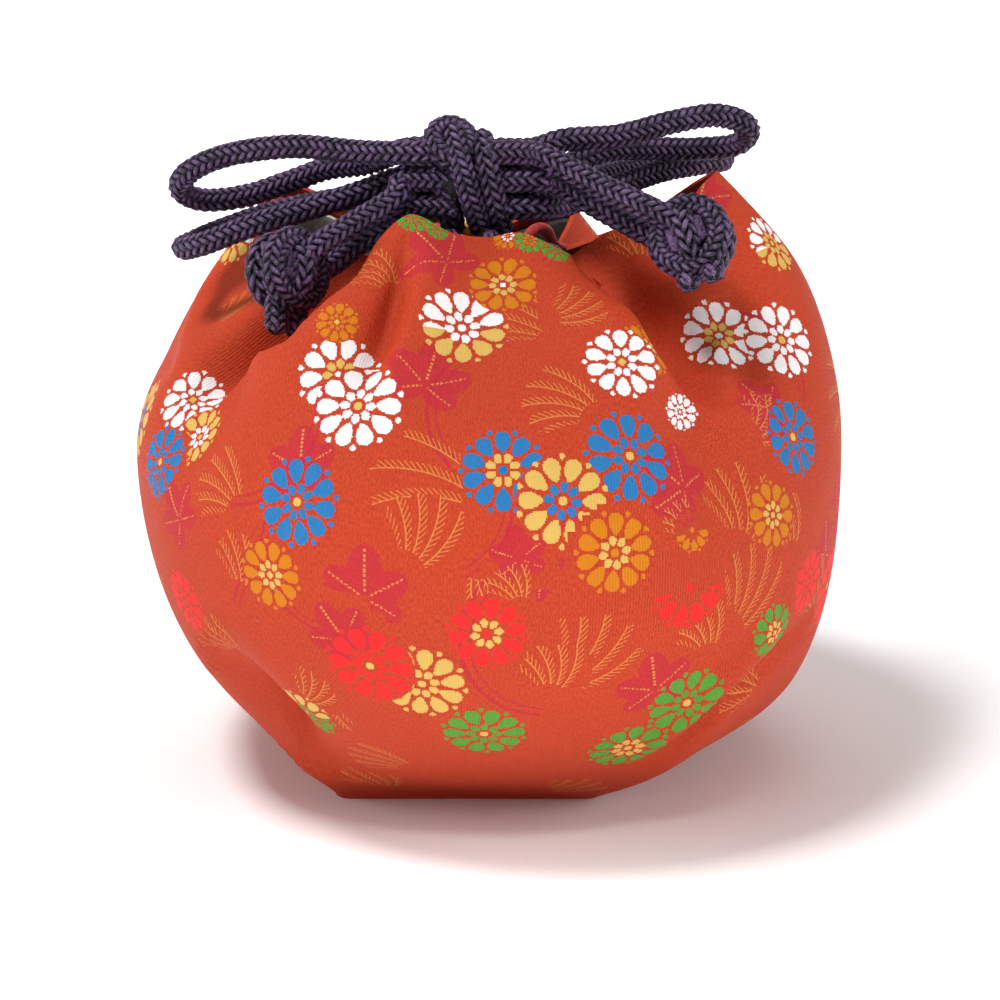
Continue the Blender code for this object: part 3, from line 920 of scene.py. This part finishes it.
brocade = cloth_object("brocade_bag", cloth, COLUMNS, brocade_finish(), BROCADE_THICKNESS)
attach(brocade, "root")
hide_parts("outer_bag")
inside = cloth_object("pale_lining", lining, COLUMNS // 2, lining_finish(), LINING_THICKNESS)
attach(inside, "root")
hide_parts("lining_bag")


# Cords.


def in_metres(points):
    return [Vector(p) * MM for p in points]


def knot_side(side, front, up):
    """Where a strand leaves the bow knot sideways, as in the part's source."""
    reach = CORD_DIAMETER / 2
    half = BOW_KNOT_SIZE / 2
    y = max(abs(front * MM) - reach, 0) / half.y
    z = max(abs(up * MM) - reach, 0) / half.z
    x = half.x * math.sqrt(1 - y * y - z * z) + 0.3 * MM
    return BOW_KNOT_CENTRE + Vector((side * x, -front * MM, up * MM))


def frames_along(route, closed):
    """Each point's place, two directions across the route, turned as little as can be, and one along it."""
    points = np.array(route)
    ahead = np.roll(points, -1, axis=0) - np.roll(points, 1, axis=0)
    if not closed:
        ahead[0] = points[1] - points[0]
        ahead[-1] = points[-1] - points[-2]
    ahead /= np.linalg.norm(ahead, axis=1)[:, None]
    first = np.cross(ahead[0], (0.3, 0.2, 1.0))
    sides = [first / np.linalg.norm(first)]
    for direction in ahead[1:]:
        side = sides[-1] - direction * (sides[-1] @ direction)
        sides.append(side / np.linalg.norm(side))
    sides = np.array(sides)
    return points, sides, np.cross(ahead, sides), ahead


def is_closed(route):
    return (route[0] - route[-1]).length < 1e-6


def braid_curve(name, routes, diameter, cores=()):
    """Cords of sixteen strands, eight each way round, over and under each other about a core.

    A route whose ends meet is closed. Cores are the filling of a knot: two points and a thickness each.
    """
    strand_radius = diameter * STRAND_SHARE
    swing = diameter * SWING_SHARE
    middle = diameter / 2 - strand_radius - swing * 0.7
    curve = bpy.data.curves.new(name, "CURVE")
    curve.dimensions = "3D"
    curve.bevel_depth = strand_radius
    curve.bevel_resolution = 1
    curve.use_fill_caps = True
    for low, high, thickness in cores:
        filling = np.array([low.lerp(high, k / 8) for k in range(9)])
        add_spline(curve, filling, thickness / 2 / strand_radius, False)
    for route in routes:
        closed = is_closed(route)
        route = even_route(route, BRAID_SPACING)
        route = route[:-1] if closed else route
        points, side, other, ahead = frames_along(route, closed)
        steps = np.linalg.norm(np.roll(points, -1, axis=0) - points, axis=1)
        travelled = np.concatenate([[0], np.cumsum(steps[:-1])])
        total = travelled[-1] + (steps[-1] if closed else 0)
        rounds = total / (diameter * BRAID_PITCH)
        twist = np.zeros(len(points))
        if closed:
            rounds = round(rounds)
            last = side[-1] - ahead[0] * (side[-1] @ ahead[0])
            short = math.atan2(last @ other[0], last @ side[0])
            twist = -short * travelled / total
        phase = 2 * math.pi * rounds * travelled / total
        for way in (1, -1):
            for k in range(8):
                out = middle + way * swing * np.cos(4 * phase - way * math.pi / 4 + k * math.pi)
                if not closed:
                    out = out * ends_drawn_in(travelled, total, middle)
                angle = way * phase + k * math.pi / 4 + twist
                outwards = side * np.cos(angle)[:, None] + other * np.sin(angle)[:, None]
                add_spline(curve, points + outwards * out[:, None], 1.0, closed)
        add_spline(curve, points, CORE_SHARE * middle / strand_radius, closed)
    return curve


def ends_drawn_in(travelled, total, reach):
    """1 along a cord, falling towards both its ends, so that the strands close over them."""
    near = np.clip(np.minimum(travelled, total - travelled) / reach, 0, 1)
    return np.sqrt(1 - (1 - near) ** 2) * 0.75 + 0.25


def add_spline(curve, place, radius, closed):
    spline = curve.splines.new("POLY")
    spline.points.add(len(place) - 1)
    spline.points.foreach_set("co", np.column_stack([place, np.ones(len(place))]).ravel())
    spline.points.foreach_set("radius", np.full(len(place), radius))
    spline.use_cyclic_u = closed


def mark_crowns(data, routes, diameter):
    """How far out on its cord each point of a braid lies, 1 on the crowns and 0 in the gaps and in a knot's
    filling: the braid's finish paints shade by it in the gaps and a highlight on the crowns.
    """
    paths = []
    for route in routes:
        steps = even_route(route, BRAID_SPACING)
        paths += steps if is_closed(route) else steps[CUT_END_STEPS:-CUT_END_STEPS]
    tree = KDTree(len(paths))
    for number, place in enumerate(paths):
        tree.insert(place, number)
    tree.balance()
    far = np.array([tree.find(v.co)[2] for v in data.vertices]) / (diameter / 2)
    crowns = data.attributes.new("crown", "FLOAT", "POINT")
    height = np.clip((far - GAP_DEPTH) / (CROWN_TOP - GAP_DEPTH), 0, 1)
    crowns.data.foreach_set("value", np.where(far < FILLING_OUT, height, 0))


def mesh_from_curve(name, curve, material):
    """A finished mesh piece from a curve, with its ends closed."""
    maker = put_in_scene(name, curve)
    data = bpy.data.meshes.new_from_object(maker.evaluated_get(bpy.context.evaluated_depsgraph_get()))
    bpy.data.objects.remove(maker)
    bpy.data.curves.remove(curve)
    mesh = bmesh.new()
    mesh.from_mesh(data)
    bmesh.ops.remove_doubles(mesh, verts=mesh.verts, dist=1e-6)
    for face in mesh.faces:
        face.smooth = True
    mesh.to_mesh(data)
    mesh.free()
    data.name = name
    data.materials.clear()
    data.materials.append(material)
    piece = put_in_scene(name, data)
    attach(piece, "root")
    return piece


# The braid: shares of the cord's diameter, of its radius for the gaps and crowns, and its pitch in diameters.
STRAND_SHARE = 0.124
SWING_SHARE = 0.08
CORE_SHARE = 0.62
GAP_DEPTH = 0.7
CROWN_TOP = 1.02
FILLING_OUT = 1.12
BRAID_PITCH = 2.9
BRAID_SPACING = 0.5 * MM
CUT_END_STEPS = 4
TURN_STEPS = 72
# Where a tail comes into its end knot: out from the knot's middle, and to one side of the line there.
TAIL_END_OUT = 8.55 * MM
TAIL_END_ASIDE = 2.45 * MM
braid = braid_finish()


def cord_piece(name, node, route):
    piece = mesh_from_curve(name, braid_curve(name, [route], CORD_DIAMETER), braid)
    mark_crowns(piece.data, [route], CORD_DIAMETER)
    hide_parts(node)


def bow_route(side, leaves, route, returns):
    start = knot_side(side, *leaves)
    end = knot_side(side, *returns)
    straight = Vector((side * CORD_DIAMETER / 2, 0, 0))
    inside = straight * 2.4
    points = [start - inside, start + straight, *in_metres(route), end + straight, end - inside]
    return smooth_route(points, 1 * MM)


def tail_route(side, leaves, route, end_knot, beside):
    """A strand from the bow knot into an end knot, beside its twin."""
    start = knot_side(side, *leaves)
    route = in_metres(route)
    back = (route[-1] - end_knot).normalized()
    across = back.cross(Vector((0, -1, 0))).cross(back).lerp(Vector((0, 0, 1)), 0.5)
    across = (across - back * across.dot(back)).normalized()
    end = end_knot + back * TAIL_END_OUT
    end += across * beside * TAIL_END_ASIDE
    straight = Vector((side * CORD_DIAMETER / 2, 0, 0))
    return smooth_route([start - straight * 3, start + straight, *route, end, end - back * 7 * MM], 1 * MM)


def ring_route(start, end, height, right, left):
    """A mouth cord: from the knot down its right end, round the mouth and up its left end."""
    turns = [start + (end - start) * k / 20 for k in range(21)]
    ring = [polar(turn, CORD_RING_RADIUS, height) for turn in turns]
    lift = Vector((0, 0, 3 * MM))
    right, left = in_metres(right), in_metres(left)
    return smooth_route([right[-1] + lift, *reversed(right), *ring, *left, left[-1] + lift], 1 * MM)


def ring(centre, axis, radius, shift):
    """A closed turn of cord round an axis, shifted along it."""
    axis = Vector(axis).normalized()
    side = axis.orthogonal().normalized()
    other = axis.cross(side)
    path = []
    for k in range(TURN_STEPS + 1):
        t = 2 * math.pi * k / TURN_STEPS
        path.append(centre + (axis * shift + (side * math.cos(t) + other * math.sin(t)) * radius) * MM)
    path[-1] = path[0].copy()
    return path


def wrap(centre, width, height, lean, shift):
    """A turn of cord round the bow's middle: a closed ring across the cords that it binds, leaning."""
    path = []
    tilt = Matrix.Rotation(math.radians(lean), 3, "Y")
    for k in range(TURN_STEPS + 1):
        t = 2 * math.pi * k / TURN_STEPS
        path.append(centre + tilt @ Vector((shift, width * math.cos(t), height * math.sin(t))) * MM)
    path[-1] = path[0].copy()
    return path


def knot_piece(name, node, routes, cores):
    piece = mesh_from_curve(name, braid_curve(name, routes, CORD_DIAMETER, cores), braid)
    mark_crowns(piece.data, routes, CORD_DIAMETER)
    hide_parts(node)
    return piece


def end_knot(name, node, middle, facing, stub, length):
    """A tight knot in the doubled end of a cord: turns two cords wide, and the two cut ends side by side."""
    facing = Vector(facing).normalized()
    down = Vector(stub).normalized()
    over = facing.cross(down).normalized()
    half = CORD_DIAMETER / MM * 0.5
    routes = [ring(middle, facing, 5.6, half), ring(middle, facing, 5.2, -half), ring(middle, over, 4.6, 0)]
    for side in (-1, 1):
        top = middle + over * side * half * MM + down * 2 * MM
        routes.append(smooth_route([top, top + down * length / 2 * MM, top + down * length * MM], 1 * MM))
    return knot_piece(name, node, routes, [(middle - facing * 4 * MM, middle + facing * 4 * MM, 8 * MM)])


def in_bow(x, y, z):
    return BOW_KNOT_CENTRE + Vector((x, y, z)) * MM


bow_knot = knot_piece("bow_knot_braid", "bow_knot", [
    wrap(in_bow(-0.4, -0.4, 0.4), 5.8, 9.4, -17, -0.2),
    wrap(in_bow(-0.4, -0.2, -1.4), 5.4, 7.8, -13, 4.5),
    wrap(in_bow(-0.4, 1.4, 0.2), 4.6, 8.0, -13, -4.7),
    ring(in_bow(-3.6, -2, 6.6), (0.25, -0.75, 0.6), 3.2, 1.2),
], [
    (in_bow(-11, 1, 3), in_bow(11, 1, 3), 6 * MM),
    (in_bow(-11, 1, -2), in_bow(11, 1, -2), 6 * MM),
    (in_bow(-5, 0, 0), in_bow(6, 0, 0), 12 * MM),
])
knot_left = end_knot("end_knot_left_braid", "end_knot_left", END_KNOT_LEFT + Vector((0, 0, 1.6)) * MM,
                     (0.75, -0.6, 0.25), (0, -0.45, -1), 9.6)
knot_right = end_knot("end_knot_right_braid", "end_knot_right", END_KNOT_RIGHT + Vector((0, 0, 0.6)) * MM,
                      (-0.35, -0.75, 0.4), (0.15, -0.8, -0.75), 7.6)

# Where strands leave the bow knot and come back: to the front and up from its middle, in mm.
BOW_STRANDS = (
    ("left_upper", -1, (3.6, 5.4), UPPER_LOOP_LEFT, (-1.4, 5.4), [bow_knot]),
    ("left_lower", -1, (-1.4, 0.4), LOWER_LOOP_LEFT, (-1.4, -4.6), []),
    ("right_upper", 1, (-1.4, 5.4), UPPER_LOOP_RIGHT, (-1.4, 0.4), []),
    ("right_lower", 1, (3.6, -4.6), LOWER_LOOP_RIGHT, (-1.4, -4.6), []),
)
for name, side, leaves, route, returns, knots in BOW_STRANDS:
    strand = bow_route(side, leaves, route, returns)
    cord_piece(f"bow_{name}", f"bow_loop_{name}", strand)

# The tails: where each leaves the bow knot, its end knot, and on which side of its middle it comes in.
TAILS = (
    ("left_front", -1, (3.6, 0.4), TAIL_LEFT_FRONT, END_KNOT_LEFT, 1, [knot_left]),
    ("left_back", -1, (3.6, -4.6), TAIL_LEFT_BACK, END_KNOT_LEFT, -1, []),
    ("right_front", 1, (3.6, 5.4), TAIL_RIGHT_FRONT, END_KNOT_RIGHT, 1, [knot_right]),
    ("right_back", 1, (3.6, 0.4), TAIL_RIGHT_BACK, END_KNOT_RIGHT, -1, []),
)
for name, side, leaves, route, end, beside, knots in TAILS:
    strand = tail_route(side, leaves, route, end, beside)
    cord_piece(f"end_{name}", f"tail_{name}", strand)

upper_ring = ring_route(24, 322, UPPER_RING, *UPPER_ENDS)
lower_ring = ring_route(28, 332, LOWER_RING, *LOWER_ENDS)
cord_piece("mouth_cord_upper", "drawstring_upper", upper_ring)
cord_piece("mouth_cord_lower", "drawstring_lower", lower_ring)


def loop_route(column):
    edge, along, outside = hem_frame(column)
    turn = hem_at(column)[0]
    middle = edge - outside * BROCADE_THICKNESS / 2
    under = edge - along * 5 * MM
    under -= outside * (BROCADE_THICKNESS + LINING_CLEARANCE + LINING_THICKNESS + 0.3 * MM)
    reach = CORD_DIAMETER / 2 + LOOP_DIAMETER / 2 + 0.6 * MM
    points = [
        middle - along * 0.5 * MM,
        middle + along * 2.2 * MM,
        polar(turn, CORD_RING_RADIUS + reach * 0.5, UPPER_RING + reach),
        polar(turn, CORD_RING_RADIUS - reach * 0.35, UPPER_RING + reach),
        polar(turn, CORD_RING_RADIUS - reach, UPPER_RING),
        polar(turn, CORD_RING_RADIUS - reach, LOWER_RING),
        polar(turn, CORD_RING_RADIUS - reach * 0.35, LOWER_RING - reach),
        polar(turn, CORD_RING_RADIUS + reach * 0.6, LOWER_RING - reach),
        under - outside * 3 * MM,
        under + outside * 0.5 * MM,
    ]
    return smooth_route(points, 0.5 * MM)


loop_cloth = loop_finish()
for number, column in enumerate(LOOP_COLUMNS, 1):
    curve = bpy.data.curves.new("cloth_loop", "CURVE")
    curve.dimensions = "3D"
    curve.bevel_depth = LOOP_DIAMETER / 2
    curve.bevel_resolution = 4
    curve.use_fill_caps = True
    add_spline(curve, np.array(loop_route(column)), 1.0, False)
    piece = mesh_from_curve(f"cloth_loop_{number}", curve, loop_cloth)
    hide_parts(f"cord_loop_{number}")


# The studio.


def make_floor():
    mesh = bmesh.new()
    bmesh.ops.create_grid(mesh, x_segments=1, y_segments=1, size=4)
    data = bpy.data.meshes.new("floor")
    mesh.to_mesh(data)
    mesh.free()
    floor = put_in_scene("floor", data)
    finish = Finish("floor", 0.9)
    finish.colour((0.9, 0.9, 0.9))
    data.materials.append(finish.material)


def make_light(name, place, aim, size, power, spread=180):
    data = bpy.data.lights.new(name, "AREA")
    data.size = size
    data.energy = power
    data.spread = math.radians(spread)
    light = put_in_scene(name, data)
    light.location = place
    light.rotation_euler = (Vector(aim) - Vector(place)).to_track_quat("-Z", "Y").to_euler()


make_floor()
# Lights: place, aim, size in m, power in W and spread in degrees.
make_light("key", (-0.35, -0.22, 1.0), (0, 0, 0.06), 0.22, 8.4)
make_light("left", (-1.0, -0.1, 0.3), (0, 0, 0.05), 0.6, 4)
make_light("right", (1.0, -0.15, 0.3), (0, 0, 0.05), 0.6, 6.4)
make_light("low", (0.1, -1.0, 0.06), (0, 0, 0.03), 0.4, 0.3)
make_light("floor_front", (0, -0.31, 0.36), (0, -0.27, 0), 0.12, 0.7, 60)
make_light("far", (0, 2.1, 1.4), (0, 2.1, 0), 2.8, 75, 80)
world = bpy.data.worlds.new("studio")
world.use_nodes = True
world.node_tree.nodes["Background"].inputs["Color"].default_value = (1, 1, 1, 1)
world.node_tree.nodes["Background"].inputs["Strength"].default_value = 0.28
bpy.context.scene.world = world
